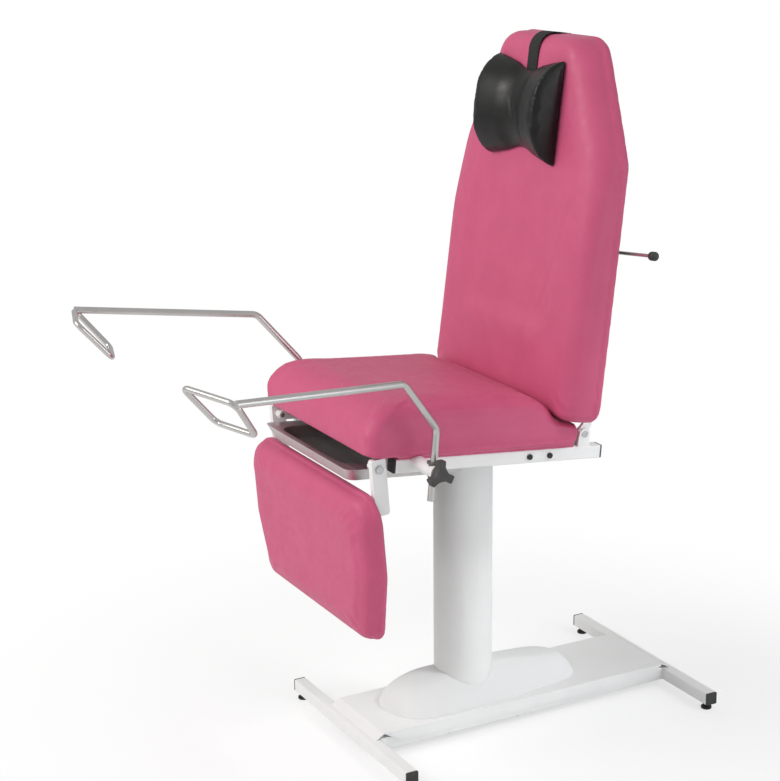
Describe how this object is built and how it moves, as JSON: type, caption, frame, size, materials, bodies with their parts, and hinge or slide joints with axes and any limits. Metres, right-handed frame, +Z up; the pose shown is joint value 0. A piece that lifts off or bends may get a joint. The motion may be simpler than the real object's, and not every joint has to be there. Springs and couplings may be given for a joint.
{
  "type": "gynecological chair",
  "caption": "Gynecological chair on a lifting column, with reclining padded back, swinging leg rest, slide-out tray, swivelling heel stirrups and a strapped head pillow.",
  "frame": {"origin": "on the floor, straight below the axis of the lifting column", "axes": "+Z up, -Y the way the sitter faces, +X the sitter's left"},
  "size_m": [0.9374, 1.368, 1.6257],
  "materials": {
    "white_paint": "satin",
    "white_plastic": "satin",
    "upholstery": "satin",
    "black_upholstery": "satin",
    "webbing": "matte",
    "black_plastic": "satin",
    "foot_rubber": "matte",
    "stainless": "satin",
    "zinc_steel": "satin",
    "dark_steel": "satin",
    "plywood": "matte",
    "glide_plastic": "matte"
  },
  "bodies": {
    "base": {"base_front_bar": "white_paint", "base_rear_bar": "white_paint", "base_side_tubes": "white_paint", "column_base_plate": "white_paint", "base_cover": "white_paint", "column_shroud": "white_plastic", "outer_column": "white_paint", "column_glide_rings": "glide_plastic", "bar_end_caps": "black_plastic", "base_bolts": "zinc_steel", "lift_actuator_body": "dark_steel", "cable_gland": "black_plastic"},
    "foot_front_left": {"levelling_foot_front_left": "foot_rubber"},
    "foot_front_right": {"levelling_foot_front_right": "foot_rubber"},
    "foot_rear_left": {"levelling_foot_rear_left": "foot_rubber"},
    "foot_rear_right": {"levelling_foot_rear_right": "foot_rubber"},
    "seat_frame": {"inner_column": "zinc_steel", "lift_actuator_rod": "zinc_steel", "column_head": "white_paint", "seat_rail_left": "white_paint", "seat_rail_right": "white_paint", "seat_cross_tubes": "white_paint", "rail_end_caps": "black_plastic", "rail_bolts": "dark_steel", "seat_board": "plywood", "seat_cushion": "upholstery", "back_hinge_lugs": "white_paint", "back_hinge_pins": "zinc_steel", "leg_rest_brackets": "white_paint", "leg_pivot_bolts": "zinc_steel", "tray_runners": "zinc_steel", "stirrup_clamp_left": "white_paint", "stirrup_clamp_right": "white_paint", "gas_spring_frame_bracket": "white_paint"},
    "backrest": {"back_board": "plywood", "back_cushion": "upholstery", "back_hinge_arms": "white_paint", "gas_spring_back_bracket": "white_paint", "lever_bracket": "white_paint", "pillow_strap": "webbing"},
    "gas_cylinder": {"gas_spring_cylinder": "dark_steel"},
    "gas_rod": {"gas_spring_rod": "zinc_steel"},
    "lever": {"release_lever": "stainless", "lever_knob": "black_plastic"},
    "lever_link": {"release_link": "zinc_steel"},
    "pillow": {"head_pillow": "black_upholstery"},
    "leg_rest": {"leg_rest_arms": "white_paint", "leg_rest_crossbar": "white_paint", "leg_rest_board": "plywood", "leg_rest_cushion": "upholstery"},
    "tray": {"drip_tray": "stainless"},
    "bush_left": {"clamp_bush_left": "glide_plastic"},
    "bush_right": {"clamp_bush_right": "glide_plastic"},
    "knob_left": {"clamp_knob_left": "black_plastic"},
    "knob_right": {"clamp_knob_right": "black_plastic"},
    "stirrup_left": {"stirrup_bar_left": "stainless", "heel_loop_left": "stainless"},
    "stirrup_right": {"stirrup_bar_right": "stainless", "heel_loop_right": "stainless"}
  },
  "joints": [
    {"name": "column_lift", "type": "slide", "parent": "base", "child": "seat_frame", "axis": [0, 0, 1], "range_m": [0, 0.2]},
    {"name": "backrest_recline", "type": "hinge", "parent": "seat_frame", "child": "backrest", "pos_m": [0, 0.16905, 0.7505], "axis": [-1, 0, 0], "range_deg": [0, 75]},
    {"name": "gas_cylinder_tilt", "type": "hinge", "parent": "seat_frame", "child": "gas_cylinder", "pos_m": [0, 0.20011, 0.63458], "axis": [-1, 0, 0], "range_deg": [0, 37.5]},
    {"name": "gas_rod_tilt", "type": "hinge", "parent": "backrest", "child": "gas_rod", "pos_m": [0, 0.20011, 0.86641], "axis": [-1, 0, 0], "range_deg": [-37.5, 0]},
    {"name": "release_lever_press", "type": "hinge", "parent": "backrest", "child": "lever", "pos_m": [0.1, 0.23653, 1.14421], "axis": [0, 0.9925, -0.1219], "range_deg": [0, 8], "stiffness_Nm_per_rad": 4, "springref_deg": -6.88},
    {"name": "release_link_lift", "type": "slide", "parent": "backrest", "child": "lever_link", "axis": [0, 0.1219, 0.9925], "range_m": [0, 0.014]},
    {"name": "pillow_height", "type": "slide", "parent": "backrest", "child": "pillow", "axis": [0, 0.1219, 0.9925], "range_m": [-0.06, 0.03]},
    {"name": "leg_rest_swing", "type": "hinge", "parent": "seat_frame", "child": "leg_rest", "pos_m": [0, -0.3585, 0.75338], "axis": [-1, 0, 0], "range_deg": [0, 95]},
    {"name": "tray_pull", "type": "slide", "parent": "seat_frame", "child": "tray", "axis": [0, -0.9958, 0.0915], "range_m": [0, 0.2]},
    {"name": "stirrup_swivel_left", "type": "hinge", "parent": "seat_frame", "child": "bush_left", "pos_m": [0.3274, -0.26687, 0.75601], "axis": [0, 0.0915, 0.9958], "range_deg": [-20, 60]},
    {"name": "stirrup_height_left", "type": "slide", "parent": "bush_left", "child": "stirrup_left", "axis": [0, 0.0915, 0.9958], "range_m": [-0.05, 0.04]},
    {"name": "clamp_knob_left", "type": "hinge", "parent": "seat_frame", "child": "knob_left", "pos_m": [0.358, -0.26687, 0.75601], "axis": [1, 0, 0], "continuous": true},
    {"name": "stirrup_swivel_right", "type": "hinge", "parent": "seat_frame", "child": "bush_right", "pos_m": [-0.3274, -0.26687, 0.75601], "axis": [0, -0.0915, -0.9958], "range_deg": [-20, 60]},
    {"name": "stirrup_height_right", "type": "slide", "parent": "bush_right", "child": "stirrup_right", "axis": [0, 0.0915, 0.9958], "range_m": [-0.05, 0.04]},
    {"name": "clamp_knob_right", "type": "hinge", "parent": "seat_frame", "child": "knob_right", "pos_m": [-0.358, -0.26687, 0.75601], "axis": [-1, 0, 0], "continuous": true},
    {"name": "foot_thread_front_left", "type": "hinge", "parent": "base", "child": "foot_front_left", "pos_m": [0.2685, -0.30045, 0.01], "axis": [0, 0, 1], "continuous": true},
    {"name": "foot_thread_front_right", "type": "hinge", "parent": "base", "child": "foot_front_right", "pos_m": [-0.2685, -0.30045, 0.01], "axis": [0, 0, 1], "continuous": true},
    {"name": "foot_thread_rear_left", "type": "hinge", "parent": "base", "child": "foot_rear_left", "pos_m": [0.2685, 0.53245, 0.01], "axis": [0, 0, 1], "continuous": true},
    {"name": "foot_thread_rear_right", "type": "hinge", "parent": "base", "child": "foot_rear_right", "pos_m": [-0.2685, 0.53245, 0.01], "axis": [0, 0, 1], "continuous": true}
  ],
  "couplings": [
    {"joint": "gas_cylinder_tilt", "follows": "backrest_recline", "ratio": 0.5},
    {"joint": "gas_rod_tilt", "follows": "backrest_recline", "ratio": -0.5},
    {"joint": "release_link_lift", "follows": "release_lever_press", "m_per_rad": 0.1}
  ]
}
